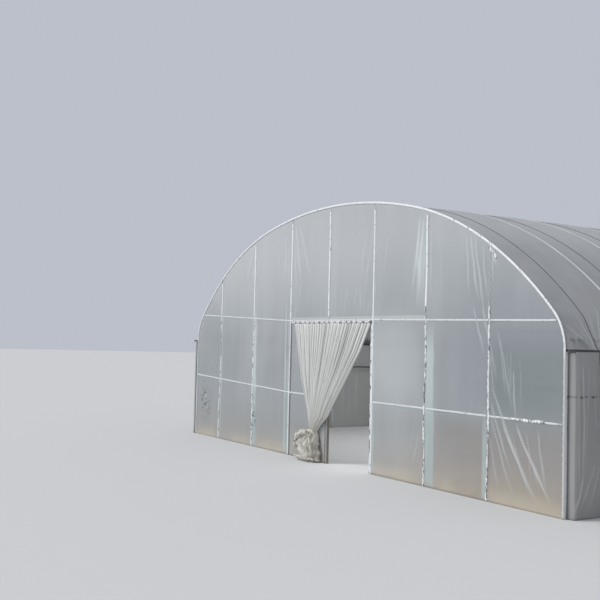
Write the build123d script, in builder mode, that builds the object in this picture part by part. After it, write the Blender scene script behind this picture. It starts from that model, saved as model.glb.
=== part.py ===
"""Polytunnel greenhouse: bent tube hoops, framed gables, clear film held by channels and taut cords.

X runs across the tunnel, Y along it with the door gable facing -Y, and Z is up. The origin is on
the ground at the middle of the footprint. All sizes are in millimetres.
"""

import math
import os

from build123d import *

os.makedirs("parts", exist_ok=True)

# Hoops: a straight leg, a tight shoulder bend, a flat haunch and a flatter crown
span = 8000.0
leg_height = 1555.0
shoulder_radius = 535.0
shoulder_turn = 43.5
haunch_radius = 4290.0
haunch_turn = 33.8
tube_radius = 12.5
bay_length = 900.0
bay_count = 6

# Clearance between pieces that seat on each other, and the gap where two rails cross in one plane
fit = 0.3
crossing_gap = 1.0

# Tubes along the tunnel: the edge tubes hang outside the legs, just below the shoulder bends
purlin_radius = 11.0
purlin_spacing = 2600.0
edge_tube_radius = 11.0
edge_tube_standoff = 80.0
edge_tube_drop = 15.0
edge_tube_overhang = 60.0

# Lock channels: a shallow groove that a zigzag wire holds the film in
channel_width = 25.0
channel_depth = 12.0
channel_wall = 1.5
side_channel_rise = 39.0
mid_channel_height = 1120.0

# Gables: posts, the doorway between two of them, and the rails, which slope at the corners
left_post_reaches = (970.0, 2045.0, 3135.0)
right_post_reaches = (1985.0, 2995.0)
door_post_reach = 990.0
rail_radius = 12.5
bar_sides = 8
lintel_height = 1856.0
mid_rail_height = 862.0
rail_rise = 120.0
rail_rise_start = 980.0
lintel_fall = 29.0

# Film, thicker here than the real sheet, and the overhang of the side film past the gables
film = 3.0
side_film_overhang = 40.0

# Press cords, which pull the roof film down between the hoops, and the stakes that hold them
cord_radius = 2.5
cord_sides = 3
cord_fit = 0.8
cord_setback = 335.0
stake_radius = 7.0
stake_height = 90.0
stake_standoff = 120.0
tie_height = 60.0

# Door curtain, drawn to one side and knotted
curtain_top = 1871.0
curtain_hem = 1821.0
curtain_reach = 920.0
curtain_hem_depth = 16.0
curtain_standoff = 12.0
curtain_waist_height = 955.0
curtain_waist = (-590.0, 400.0)
curtain_waist_depth = 130.0
knot_height = 370.0
knot_x = -380.0
knot_width = 130.0
knot_depth = 110.0
tail_height = 200.0
tail_width = 330.0
tail_depth = 150.0
tail_spread = 550.0
tail_spread_depth = 200.0
tail_x = -465.0

# Worked out from the sizes above
half_span = span / 2
length = bay_length * bay_count
crown_turn = 90.0 - shoulder_turn - haunch_turn
edge_tube_reach = half_span + edge_tube_standoff
edge_tube_height = leg_height - edge_tube_drop
side_channel_height = leg_height + side_channel_rise
stake_reach = edge_tube_reach + stake_standoff


def away(centre, distance, angle):
    """The point at a distance from centre, in the direction of an angle in degrees."""
    turn = math.radians(angle)
    return (centre[0] + distance * math.cos(turn), centre[1] + distance * math.sin(turn))


shoulder_centre = (half_span - shoulder_radius, leg_height)
haunch_centre = away(shoulder_centre, shoulder_radius - haunch_radius, shoulder_turn)
haunch_end = shoulder_turn + haunch_turn
crown_radius = haunch_radius + haunch_centre[0] / math.cos(math.radians(haunch_end))
crown_centre = away(haunch_centre, haunch_radius - crown_radius, haunch_end)

# The film leaves the shoulder bend on the line that touches both the bend and the edge tube
edge_centre = (edge_tube_reach, edge_tube_height)
edge_dx = edge_centre[0] - shoulder_centre[0]
edge_dz = edge_centre[1] - shoulder_centre[1]
bend_excess = shoulder_radius + tube_radius - edge_tube_radius
leave_angle = math.degrees(
    math.atan2(edge_dz, edge_dx) + math.acos(bend_excess / math.hypot(edge_dx, edge_dz))
)

# What is bolted to a gable stacks up outwards from the hoop's centre plane
channel_back = tube_radius + fit
channel_front = channel_back + channel_depth
film_back = channel_front + fit
film_front = film_back + film
curtain_back = film_front + fit
rail_offset = tube_radius + fit + rail_radius
curtain_front = film_front + curtain_standoff + tail_spread_depth

# The curtain stands out further than the edge tubes do behind, so the hoops lie off the middle
front_y = (curtain_front - edge_tube_overhang - length) / 2
rear_y = front_y + length
hoop_places = [front_y + bay_length * i for i in range(bay_count + 1)]
cord_places = [y + cord_setback for y in hoop_places[:-1]]


def arc_over(x, out):
    """Centre and radius of the hoop's arc above x, moved out from the centreline."""
    if x < away(crown_centre, crown_radius + out, haunch_end)[0]:
        return crown_centre, crown_radius + out
    if x < away(haunch_centre, haunch_radius + out, shoulder_turn)[0]:
        return haunch_centre, haunch_radius + out
    return shoulder_centre, shoulder_radius + out


def arch_height(x, out=0.0):
    """Height of the curve that runs out outside the hoop's centreline, at x from the middle."""
    centre, radius = arc_over(abs(x), out)
    return centre[1] + math.sqrt(radius**2 - (abs(x) - centre[0]) ** 2)


def leg_reach(z, out=0.0):
    """Distance from the middle to that curve at height z, on the leg or the shoulder bend."""
    rise = max(z - leg_height, 0.0)
    return shoulder_centre[0] + math.sqrt((shoulder_radius + out) ** 2 - rise**2)


def gable_plane(y):
    """Upright plane across the tunnel at y, drawn in as X and Z."""
    return Plane.XZ.offset(-y)


def half_arch(out):
    """Draws the right half of the curve that runs out outside the hoop's centreline."""
    Line((half_span + out, 0), (half_span + out, leg_height))
    CenterArc(shoulder_centre, shoulder_radius + out, 0, shoulder_turn)
    CenterArc(haunch_centre, haunch_radius + out, shoulder_turn, haunch_turn)
    CenterArc(crown_centre, crown_radius + out, haunch_end, crown_turn)


def arch_region(out):
    """Draws the whole area under that curve, down to the ground."""
    with BuildLine() as outline:
        half_arch(out)
        ridge = (0, arch_height(0, out))
        Polyline(ridge, (0, 0), (half_span + out, 0))
    make_face(outline.edges())
    mirror(about=Plane.YZ)


def taut_half(gap, start_angle):
    """Draws the curve that lies gap off the edge tube and the hoops, from the tube to the ridge."""
    out = tube_radius + gap
    CenterArc(edge_centre, edge_tube_radius + gap, start_angle, leave_angle - start_angle)
    Line(
        away(edge_centre, edge_tube_radius + gap, leave_angle),
        away(shoulder_centre, shoulder_radius + out, leave_angle),
    )
    CenterArc(shoulder_centre, shoulder_radius + out, leave_angle, shoulder_turn - leave_angle)
    CenterArc(haunch_centre, haunch_radius + out, shoulder_turn, haunch_turn)
    CenterArc(crown_centre, crown_radius + out, haunch_end, crown_turn)


def channel_section():
    """Draws the lock channel's section, open towards local -Y, with its back on local X."""
    Rectangle(channel_width, channel_depth, align=(Align.CENTER, Align.MAX))
    with Locations((0, -channel_wall)):
        Rectangle(
            channel_width - 2 * channel_wall,
            channel_depth - channel_wall,
            align=(Align.CENTER, Align.MAX),
            mode=Mode.SUBTRACT,
        )


def write(builder, label):
    """Names a finished piece and writes it as a STEP file."""
    builder.part.label = label
    export_step(builder.part, f"parts/{label}.step")


# Hoops, of square section for round tube, so that the long bends take few faces
for number, y in enumerate(hoop_places, start=1):
    with BuildPart() as hoop:
        with BuildLine(gable_plane(y)):
            half_arch(0)
        with BuildSketch(Plane(origin=(half_span, y, 0), x_dir=(0, 1, 0), z_dir=(0, 0, 1))):
            Rectangle(2 * tube_radius, 2 * tube_radius)
        sweep()
        mirror(about=Plane.YZ)
    write(hoop, f"hoop_{number}")

# Purlins, clamped under the hoops: the ridge one stops at the gables' middle posts
purlin_drop = tube_radius + fit + purlin_radius
haunch_arc, haunch_arc_radius = arc_over(purlin_spacing, 0)
haunch_share = (purlin_spacing - haunch_arc[0]) / haunch_arc_radius
haunch_purlin_angle = math.degrees(math.acos(haunch_share))
haunch_seat = away(haunch_arc, haunch_arc_radius - purlin_drop, haunch_purlin_angle)
purlin_overhang = tube_radius
ridge_overhang = -tube_radius - fit
for label, seat, overhang in (
    ("ridge_purlin", (0, arch_height(0) - purlin_drop), ridge_overhang),
    ("haunch_purlin_left", (-haunch_seat[0], haunch_seat[1]), purlin_overhang),
    ("haunch_purlin_right", haunch_seat, purlin_overhang),
):
    with BuildPart() as purlin:
        with BuildSketch(gable_plane(rear_y + overhang)):
            with Locations(seat):
                Circle(purlin_radius)
        extrude(amount=length + 2 * overhang)
    write(purlin, label)

# Lock channels along the sides, and the tube in the roof film's lower edge
side_seat = leg_reach(side_channel_height - channel_width / 2, tube_radius) + fit
mid_seat = leg_reach(mid_channel_height, tube_radius) + fit
for side, side_name in ((-1, "left"), (1, "right")):
    for label, seat, z in (
        ("side_channel", side_seat, side_channel_height),
        ("mid_channel", mid_seat, mid_channel_height),
    ):
        start = Plane(origin=(side * seat, front_y, z), x_dir=(0, 0, -side), z_dir=(0, 1, 0))
        with BuildPart() as channel:
            with BuildSketch(start):
                channel_section()
            extrude(amount=length)
        write(channel, f"{label}_{side_name}")
    with BuildPart() as edge_tube:
        with BuildSketch(gable_plane(rear_y + edge_tube_overhang)):
            with Locations((side * edge_tube_reach, edge_tube_height)):
                Circle(edge_tube_radius)
        extrude(amount=length + 2 * edge_tube_overhang)
    write(edge_tube, f"edge_tube_{side_name}")


def rail_lift(x):
    """How far both front rails have risen at x, towards the left corner."""
    return rail_rise * max((-x - rail_rise_start) / (half_span - rail_rise_start), 0.0)


def lintel_lift(x):
    """How far the front lintel has risen at x, or fallen towards the right corner."""
    share = (x - door_post_reach) / (half_span - door_post_reach)
    return rail_lift(x) - lintel_fall * max(share, 0.0)


def bar_section(radius):
    """Draws an eight-sided section for a round bar, with flats that face along both axes."""
    RegularPolygon(radius, bar_sides, major_radius=False, rotation=180 / bar_sides)


def gable_posts(reaches, y):
    """Posts from the ground up to the hoop in their plane, cut to its underside."""
    with BuildPart() as posts:
        with BuildSketch(Plane.XY):
            with Locations([(x, y) for x in reaches]):
                bar_section(tube_radius)
        extrude(amount=arch_height(0))
        with BuildSketch(gable_plane(y)):
            arch_region(-tube_radius - fit)
        extrude(amount=tube_radius, both=True, mode=Mode.INTERSECT)
    return posts


def gable_rail(points, y):
    """A tube along the points, cut where it reaches the hoop's centreline behind the hoop."""
    with BuildPart() as rail:
        with BuildLine(gable_plane(y)) as route:
            Polyline(*points)
        with BuildSketch(Plane(origin=route.line @ 0, x_dir=(0, 1, 0), z_dir=route.line % 0)):
            bar_section(rail_radius)
        sweep(transition=Transition.RIGHT)
        with BuildSketch(gable_plane(y)):
            arch_region(0)
        extrude(amount=rail_radius, both=True, mode=Mode.INTERSECT)
    return rail


# Posts of the two gables
rear_reaches = (door_post_reach, *right_post_reaches)
write(gable_posts([-x for x in left_post_reaches], front_y), "front_posts_left")
write(gable_posts([0, door_post_reach], front_y), "front_door_posts")
write(gable_posts(right_post_reaches, front_y), "front_posts_right")
write(gable_posts([-x for x in rear_reaches] + [0, *rear_reaches], rear_y), "rear_posts")

# Rails on the inner side of the posts: those of the front slope towards the corners
risen = (-half_span, rail_rise)
level = (-rail_rise_start, 0)
door_side = (door_post_reach, 0)
right_end = (half_span, 0)
lintel_course = (risen, level, door_side, (half_span, -lintel_fall))
rear_course = ((-half_span, 0), right_end)
front_rail_y = front_y + rail_offset
rear_rail_y = rear_y - rail_offset
for label, course, height, y in (
    ("front_lintel", lintel_course, lintel_height, front_rail_y),
    ("front_mid_rail_left", (risen, level, (0, 0)), mid_rail_height, front_rail_y),
    ("front_mid_rail_right", (door_side, right_end), mid_rail_height, front_rail_y),
    ("rear_lintel", rear_course, lintel_height, rear_rail_y),
    ("rear_mid_rail", rear_course, mid_rail_height, rear_rail_y),
):
    write(gable_rail([(x, height + lift) for x, lift in course], y), label)

# Lock channels along both gable arches, opening outwards
for label, y, outwards in (
    ("front_arch_channel", front_y, -1),
    ("rear_arch_channel", rear_y, 1),
):
    seat = (half_span, y + outwards * channel_back, 0)
    with BuildPart() as channel:
        with BuildLine(gable_plane(y)):
            half_arch(0)
        with BuildSketch(Plane(origin=seat, x_dir=(-outwards, 0, 0), z_dir=(0, 0, 1))):
            channel_section()
        sweep()
        mirror(about=Plane.YZ)
    write(channel, label)

# Lock channel along the front lintel, cut to the arch channel
channel_inside = -channel_width / 2 - fit
with BuildPart() as lintel_channel:
    with BuildLine(gable_plane(front_y)) as route:
        Polyline(*[(x, lintel_height + lift) for x, lift in lintel_course])
    start = route.line @ 0 + Vector(0, -channel_back, 0)
    across = Vector(0, 1, 0).cross(route.line % 0)
    with BuildSketch(Plane(origin=start, x_dir=across, z_dir=route.line % 0)):
        channel_section()
    sweep(transition=Transition.RIGHT)
    with BuildSketch(gable_plane(front_y)):
        arch_region(channel_inside)
    extrude(amount=channel_front, mode=Mode.INTERSECT)
write(lintel_channel, "front_lintel_channel")

# Upright lock channels where two widths of film meet and at the doorway's sides
channel_posts = (-left_post_reaches[1], 0, door_post_reach, *right_post_reaches)
channel_seat = front_y - channel_back
lintel_half = channel_width / 2 + crossing_gap
with BuildPart() as post_channels:
    for x in channel_posts:
        crossing = lintel_height + lintel_lift(x)
        with BuildSketch(Plane.XY):
            with Locations((x, channel_seat)):
                channel_section()
        extrude(amount=crossing - lintel_half)
        with BuildSketch(Plane.XY.offset(crossing + lintel_half)):
            with Locations((x, channel_seat)):
                channel_section()
        extrude(amount=arch_height(0) - crossing)
    with BuildSketch(gable_plane(front_y)):
        arch_region(channel_inside)
    extrude(amount=channel_front, mode=Mode.INTERSECT)
write(post_channels, "front_post_channels")

# Lock channels along the front middle rails, in lengths that fit between the upright ones
with BuildPart() as rail_channels:
    for course in ((risen, level, (0, 0)), (door_side, right_end)):
        with BuildLine(gable_plane(front_y)) as route:
            Polyline(*[(x, mid_rail_height + lift) for x, lift in course])
        start = route.line @ 0 + Vector(0, -channel_back, 0)
        across = Vector(0, 1, 0).cross(route.line % 0)
        with BuildSketch(Plane(origin=start, x_dir=across, z_dir=route.line % 0)):
            channel_section()
        sweep(transition=Transition.RIGHT)
    with BuildSketch(gable_plane(front_y)):
        arch_region(channel_inside)
    extrude(amount=channel_front, mode=Mode.INTERSECT)
    with BuildSketch(gable_plane(front_y)):
        with Locations([(x, mid_rail_height + rail_lift(x)) for x in channel_posts]):
            Rectangle(channel_width + 2 * fit, 2 * channel_width)
    extrude(amount=channel_front, mode=Mode.SUBTRACT)
write(rail_channels, "front_mid_rail_channels")

# Gable film, outside the channels: a width on each side of the doorway, one over it, and the rear
film_out = tube_radius + fit + film
jamb = channel_width / 2
panel_top = arch_height(0, film_out)
for label, left, right, low in (
    ("front_film_left", -half_span - film_out, jamb, 0),
    ("front_film_over_door", jamb + fit, door_post_reach - jamb - fit, lintel_height - jamb),
    ("front_film_right", door_post_reach - jamb, half_span + film_out, 0),
):
    with BuildPart() as panel:
        with BuildSketch(gable_plane(front_y - film_back)):
            arch_region(film_out)
            with Locations(((left + right) / 2, (low + panel_top) / 2)):
                Rectangle(right - left, panel_top - low, mode=Mode.INTERSECT)
        extrude(amount=film)
    write(panel, label)
with BuildPart() as rear_film:
    with BuildSketch(gable_plane(rear_y + film_back)):
        arch_region(film_out)
    extrude(amount=-film)
write(rear_film, "rear_film")

# Roof film, from edge tube to edge tube over the hoops
with BuildPart() as roof_film:
    with BuildSketch(gable_plane(rear_y + channel_front)):
        with BuildLine():
            taut_half(fit, 0)
            taut_half(fit + film, 0)
            tube_side = edge_tube_reach + edge_tube_radius + fit
            Line((tube_side, edge_tube_height), (tube_side + film, edge_tube_height))
            under_film = tube_radius + fit
            Line((0, arch_height(0, under_film)), (0, arch_height(0, under_film + film)))
        make_face()
        mirror(about=Plane.YZ)
    extrude(amount=length + 2 * channel_front)
write(roof_film, "roof_film")

# Side film, hung from the edge tubes down to the ground
side_film_height = edge_tube_height - fit
for side, side_name in ((-1, "left"), (1, "right")):
    with BuildPart() as side_film:
        with Locations((side * (tube_side + film / 2), (front_y + rear_y) / 2, side_film_height / 2)):
            Box(film, length + 2 * side_film_overhang, side_film_height)
    write(side_film, f"side_film_{side_name}")

# Press cords, from stake to stake over the edge tubes and the roof film, a flat side to the film
cord_flat = cord_radius * math.cos(math.pi / cord_sides)
cord_gap = fit + film + cord_fit + cord_flat
tie = (stake_reach - stake_radius - fit - cord_radius, tie_height)
tie_dx = tie[0] - edge_centre[0]
tie_dz = tie[1] - edge_centre[1]
cord_bend = edge_tube_radius + cord_gap
drop_angle = math.degrees(
    math.atan2(tie_dz, tie_dx) + math.acos(cord_bend / math.hypot(tie_dx, tie_dz))
)
for number, y in enumerate(cord_places, start=1):
    with BuildPart() as cord:
        with BuildLine(gable_plane(y)) as route:
            Line(tie, away(edge_centre, cord_bend, drop_angle))
            taut_half(cord_gap, drop_angle)
        start = Vector(tie[0], y, tie[1])
        upwards = Vector(-math.sin(math.radians(drop_angle)), 0, math.cos(math.radians(drop_angle)))
        with BuildSketch(Plane(origin=start, x_dir=(0, 1, 0), z_dir=upwards)):
            RegularPolygon(cord_radius, cord_sides, rotation=-90)
        sweep()
        mirror(about=Plane.YZ)
    write(cord, f"press_cord_{number}")

# Stakes, driven into the ground beside each cord's end
for side, side_name in ((-1, "left"), (1, "right")):
    with BuildPart() as stakes:
        with BuildSketch(Plane.XY):
            with Locations([(side * stake_reach, y) for y in cord_places]):
                bar_section(stake_radius)
        extrude(amount=stake_height)
    write(stakes, f"stakes_{side_name}")

# Door curtain, hung on the lintel, drawn together in a knot and spreading again on the ground
waist_middle = sum(curtain_waist) / 2
waist_width = curtain_waist[1] - curtain_waist[0]
loose_back = film_front + curtain_standoff
curtain_width = 2 * curtain_reach
curtain_sections = (
    (curtain_top, 0, curtain_width, curtain_hem_depth, curtain_back),
    (curtain_hem, 0, curtain_width, curtain_hem_depth, loose_back),
    (curtain_waist_height, waist_middle, waist_width, curtain_waist_depth, loose_back),
    (knot_height, knot_x, knot_width, knot_depth, loose_back),
    (tail_height, (knot_x + tail_x) / 2, tail_width, tail_depth, loose_back),
    (0, tail_x, tail_spread, tail_spread_depth, loose_back),
)
right_side = [(x + width / 2, z) for z, x, width, depth, back in curtain_sections]
left_side = [(x - width / 2, z) for z, x, width, depth, back in reversed(curtain_sections)]
back_side = [(front_y - back, z) for z, x, width, depth, back in curtain_sections]
front_side = [
    (front_y - back - depth, z) for z, x, width, depth, back in reversed(curtain_sections)
]
with BuildPart() as door_curtain:
    with BuildSketch(gable_plane(front_y)):
        with BuildLine():
            Polyline(*right_side, *left_side, close=True)
        make_face()
    extrude(amount=curtain_front)
    with BuildSketch(Plane.YZ):
        with BuildLine():
            Polyline(*back_side, *front_side, close=True)
        make_face()
    extrude(amount=curtain_width, both=True, mode=Mode.INTERSECT)
write(door_curtain, "door_curtain")
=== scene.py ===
import math
import random

import bmesh
import bpy
import numpy as np
from mathutils import Matrix, Vector, noise


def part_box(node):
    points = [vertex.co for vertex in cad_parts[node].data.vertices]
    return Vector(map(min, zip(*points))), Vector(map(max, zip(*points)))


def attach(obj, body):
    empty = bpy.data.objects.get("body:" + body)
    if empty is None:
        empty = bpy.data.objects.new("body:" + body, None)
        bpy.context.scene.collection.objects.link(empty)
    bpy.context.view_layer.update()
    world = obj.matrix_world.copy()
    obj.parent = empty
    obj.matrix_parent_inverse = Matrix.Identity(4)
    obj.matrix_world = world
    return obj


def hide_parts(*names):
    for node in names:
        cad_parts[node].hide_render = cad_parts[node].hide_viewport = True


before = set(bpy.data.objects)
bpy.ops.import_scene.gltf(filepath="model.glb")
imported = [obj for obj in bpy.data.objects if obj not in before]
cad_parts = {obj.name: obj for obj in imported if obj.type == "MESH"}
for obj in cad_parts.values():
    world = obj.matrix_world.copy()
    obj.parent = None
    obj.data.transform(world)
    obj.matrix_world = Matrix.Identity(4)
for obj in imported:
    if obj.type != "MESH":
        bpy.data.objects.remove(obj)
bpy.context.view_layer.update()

# Camera: the picture is taken at eye height from outside the right front corner, and its place,
# aim and lens were fitted to the near gable's posts, rails and hoop.
eye = Vector((9.8678, -9.0700, 1.5780))
yaw = -1.0256
pitch = 0.0454
roll = 0.0240
aim = Vector((math.sin(yaw) * math.cos(pitch), math.cos(yaw) * math.cos(pitch), math.sin(pitch)))
level = Vector((math.cos(yaw), -math.sin(yaw), 0))
upright = level.cross(aim)
picture_right = math.cos(roll) * level + math.sin(roll) * upright
picture_up = math.cos(roll) * upright - math.sin(roll) * level
camera_data = bpy.data.cameras.new("camera")
camera_data.sensor_width = 36
camera_data.lens = 54.12
camera = bpy.data.objects.new("camera", camera_data)
turned = Matrix((picture_right, picture_up, -aim)).transposed().to_4x4()
camera.matrix_world = Matrix.Translation(eye) @ turned
bpy.context.collection.objects.link(camera)
bpy.context.scene.camera = camera
bpy.context.scene.view_settings.view_transform = "Standard"

# Floor and light: a plain pale floor under soft light, stronger from the front left, so that the
# tunnel's right side stands in the shade as in the picture. A soft lamp under the ridge stands for
# the daylight that the films let through.
floor_colour = (0.60, 0.60, 0.605, 1)
sky_colour = (0.50, 0.525, 0.59, 1)
fill_colour = (0.93, 0.96, 1.0, 1)
fill_strength = 0.62
key_strength = 1.9
key_from = Vector((-0.55, -0.95, 1.0))
key_softness = math.radians(24)
floor_reach = 90.0
inner_size = (6.4, 4.8)
inner_height = 2.45
inner_power = 108.0


class Number:
    """A value that changes over a surface or along a tube. Sums and products of it add nodes."""

    def __init__(self, maker, socket):
        self.maker = maker
        self.socket = socket

    def maths(self, operation, *others):
        """Another number, worked out from this one by a Math node."""
        terms = dict(enumerate((self, *others)))
        return self.maker.node("ShaderNodeMath", {"operation": operation}, terms)

    def out(self, name):
        """Another output of the node that this value comes from."""
        return Number(self.maker, self.socket.node.outputs[name])

    def rise(self, low, high):
        """0 below low, 1 above high, and smooth between them."""
        return self.maker.node(
            "ShaderNodeMapRange",
            {"interpolation_type": "SMOOTHSTEP"},
            {"Value": self, "From Min": low, "From Max": high},
        )

    def __add__(self, other):
        return self.maths("ADD", other)

    def __sub__(self, other):
        return self.maths("SUBTRACT", other)

    def __rsub__(self, other):
        return self * -1 + other

    def __mul__(self, other):
        return self.maths("MULTIPLY", other)

    def __truediv__(self, other):
        return self.maths("DIVIDE", other)

    def __abs__(self):
        return self.maths("ABSOLUTE")

    __radd__ = __add__
    __rmul__ = __mul__


class Maker:
    """Adds nodes to one tree, each through the same method."""

    def __init__(self, tree):
        self.tree = tree

    def node(self, kind, settings=None, inputs=None, output=0):
        """Adds a node, its settings first and then its inputs, and gives one of its outputs."""
        made = self.tree.nodes.new(kind)
        for name, value in (settings or {}).items():
            setattr(made, name, value)
        for name, value in (inputs or {}).items():
            if isinstance(value, Number):
                self.tree.links.new(value.socket, made.inputs[name])
            else:
                made.inputs[name].default_value = value
        return Number(self, made.outputs[output]) if made.outputs else None


class Finish(Maker):
    """A material, with the patterns that the finishes of this tunnel share."""

    def __init__(self, name):
        self.material = bpy.data.materials.new(name)
        self.material.use_nodes = True
        super().__init__(self.material.node_tree)
        self.surface = self.tree.nodes["Principled BSDF"]
        self.place = self.node("ShaderNodeTexCoord").out("Object")

    def axis(self, name):
        """The object's own X, Y or Z."""
        return self.node("ShaderNodeSeparateXYZ", inputs={0: self.place}).out(name)

    def cloud(self, stretch, detail=3.0, roughness=0.55):
        """Noise from 0 to 1, with this many features a metre along X, Y and Z."""
        place = self.node("ShaderNodeMapping", inputs={"Vector": self.place, "Scale": stretch})
        sizes = {"Vector": place, "Scale": 1.0, "Detail": detail, "Roughness": roughness}
        return self.node("ShaderNodeTexNoise", inputs=sizes)

    def mixed(self, share, first, second):
        """A colour from the first to the second, as share goes from 0 to 1."""
        terms = {0: share, 6: first, 7: second}
        return self.node("ShaderNodeMix", {"data_type": "RGBA"}, terms, output=2)

    def give(self, **sockets):
        """Sets or links the shader's sockets, named with underscores for spaces."""
        for name, value in sockets.items():
            socket = self.surface.inputs[name.replace("_", " ")]
            if isinstance(value, Number):
                self.tree.links.new(value.socket, socket)
            else:
                socket.default_value = value

    def bump(self, height, distance, strength=1.0):
        """Links a height to the shader's normal."""
        sizes = {"Height": height, "Distance": distance, "Strength": strength}
        self.give(Normal=self.node("ShaderNodeBump", inputs=sizes))


bpy.ops.mesh.primitive_circle_add(vertices=64, radius=floor_reach, fill_type="NGON")
floor = bpy.context.object
floor.name = "floor"
floor_finish = Finish("floor")
floor_finish.give(Base_Color=floor_colour, Roughness=0.9)
floor.data.materials.append(floor_finish.material)
world = bpy.data.worlds.new("studio")
bpy.context.scene.world = world
world.use_nodes = True
studio = Maker(world.node_tree)
rays = studio.node("ShaderNodeLightPath")
seen = rays.out("Is Camera Ray").maths("MAXIMUM", rays.out("Is Glossy Ray"))
seen = seen.maths("MAXIMUM", rays.out("Is Transmission Ray"))
fill = studio.node("ShaderNodeBackground", inputs={"Color": fill_colour, "Strength": fill_strength})
shown = studio.node("ShaderNodeBackground", inputs={"Color": sky_colour, "Strength": 1.0})
sky = studio.node("ShaderNodeMixShader", inputs={0: seen, 1: fill, 2: shown})
studio.tree.links.new(sky.socket, studio.tree.nodes["World Output"].inputs["Surface"])
key_data = bpy.data.lights.new("key", "SUN")
key_data.energy = key_strength
key_data.angle = key_softness
key = bpy.data.objects.new("key", key_data)
key.rotation_mode = "QUATERNION"
key.rotation_quaternion = key_from.to_track_quat("Z", "Y")
bpy.context.collection.objects.link(key)
inner_data = bpy.data.lights.new("inner", "AREA")
inner_data.shape = "RECTANGLE"
inner_data.size, inner_data.size_y = inner_size
inner_data.energy = inner_power
inner = bpy.data.objects.new("inner", inner_data)
inner.location = (0, 0, inner_height)
inner.visible_camera = False
inner.visible_glossy = False
bpy.context.collection.objects.link(inner)

# Hoops: seven bent tubes of hot-dip galvanised steel, each with a straight leg, a tight shoulder
# bend and two flatter bends up to the ridge. They are pushed into the ground at their feet.
front_y = sum(corner.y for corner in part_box("hoop_1")) / 2
rear_y = sum(corner.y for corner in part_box("hoop_7")) / 2
bay_count = 6
bay_length = (rear_y - front_y) / bay_count
tube_radius = 0.0125
half_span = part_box("hoop_1")[1].x - tube_radius
leg_height = 1.555
shoulder_radius = 0.535
shoulder_turn = math.radians(43.5)
haunch_radius = 4.29
haunch_end = math.radians(77.3)


def away(centre, distance, angle):
    """The point at a distance from centre, in the direction of an angle."""
    return (centre[0] + distance * math.cos(angle), centre[1] + distance * math.sin(angle))


shoulder_centre = (half_span - shoulder_radius, leg_height)
haunch_centre = away(shoulder_centre, shoulder_radius - haunch_radius, shoulder_turn)
crown_radius = haunch_radius + haunch_centre[0] / math.cos(haunch_end)
crown_centre = away(haunch_centre, haunch_radius - crown_radius, haunch_end)


def bend_at(angle, out=0.0):
    """Point on the right half of the arch where it faces that way, out outside its centreline."""
    if angle < shoulder_turn:
        return away(shoulder_centre, shoulder_radius + out, angle)
    if angle < haunch_end:
        return away(haunch_centre, haunch_radius + out, angle)
    return away(crown_centre, crown_radius + out, angle)


def arch_height(x, out=0.0):
    """Height of the arch over x, out outside its centreline."""
    reach = abs(x)
    centre, radius = shoulder_centre, shoulder_radius
    if reach < bend_at(shoulder_turn, out)[0]:
        centre, radius = haunch_centre, haunch_radius
    if reach < bend_at(haunch_end, out)[0]:
        centre, radius = crown_centre, crown_radius
    return centre[1] + math.sqrt(max((radius + out) ** 2 - (reach - centre[0]) ** 2, 0))


def bend_angles(start, shoulder_steps, haunch_steps, crown_steps):
    """Angles from start up to the ridge, evenly spaced within each bend."""
    shoulder = np.linspace(start, shoulder_turn, shoulder_steps, endpoint=False)
    haunch = np.linspace(shoulder_turn, haunch_end, haunch_steps, endpoint=False)
    crown = np.linspace(haunch_end, math.pi / 2, crown_steps + 1)
    return [*shoulder, *haunch, *crown]


def arch_line(out, y, foot=0.0):
    """The whole arch as points from the right foot over the ridge to the left foot."""
    angles = bend_angles(0, 10, 18, 26)
    right = [(half_span + out, foot), *[bend_at(angle, out) for angle in angles]]
    left = [(-x, z) for x, z in reversed(right[:-1])]
    return [(x, y, z) for x, z in right + left]


class Recipe(Maker):
    """A Geometry Nodes tree that works on a line of points, with named sizes as its inputs."""

    def __init__(self, name, sizes):
        super().__init__(bpy.data.node_groups.new(name, "GeometryNodeTree"))
        face = self.tree.interface
        face.new_socket("Geometry", in_out="INPUT", socket_type="NodeSocketGeometry")
        self.sockets = {}
        for size, kind in {**sizes, "Finish": "Material"}.items():
            made = face.new_socket(size, in_out="INPUT", socket_type=f"NodeSocket{kind}")
            self.sockets[size] = made.identifier
        face.new_socket("Geometry", in_out="OUTPUT", socket_type="NodeSocketGeometry")
        self.given = self.node("NodeGroupInput")

    def path(self, spacing=None):
        """The line handed in as a curve, with its points evenly spaced if a spacing is given."""
        curve = self.node("GeometryNodeMeshToCurve", inputs={"Mesh": self.given})
        if spacing is None:
            return curve
        terms = {"Curve": curve, "Length": spacing}
        return self.node("GeometryNodeResampleCurve", {"mode": "LENGTH"}, terms)

    def swept(self, curve, sides, radius):
        """A round section with this many sides, drawn along a curve and closed at its ends."""
        sizes = {"Resolution": sides, "Radius": radius}
        ring = self.node("GeometryNodeCurvePrimitiveCircle", inputs=sizes)
        terms = {"Curve": curve, "Profile Curve": ring, "Fill Caps": True}
        return self.node("GeometryNodeCurveToMesh", inputs=terms)

    def vector(self, operation, terms):
        """A vector worked out from others, or scaled."""
        return self.node("ShaderNodeVectorMath", {"operation": operation}, terms)

    def moved(self, geometry, offset):
        """The geometry with its points moved by an offset that may differ from point to point."""
        return self.node("GeometryNodeSetPosition", inputs={"Geometry": geometry, "Offset": offset})

    def end(self, geometry):
        """Realizes what the tree made, gives it the finish handed in and sends it out."""
        real = self.node("GeometryNodeRealizeInstances", inputs={"Geometry": geometry})
        smooth = self.node("GeometryNodeSetShadeSmooth", inputs={"Geometry": real})
        terms = {"Geometry": smooth, "Material": self.given.out("Finish")}
        self.node("NodeGroupOutput", inputs={0: self.node("GeometryNodeSetMaterial", inputs=terms)})


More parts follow.
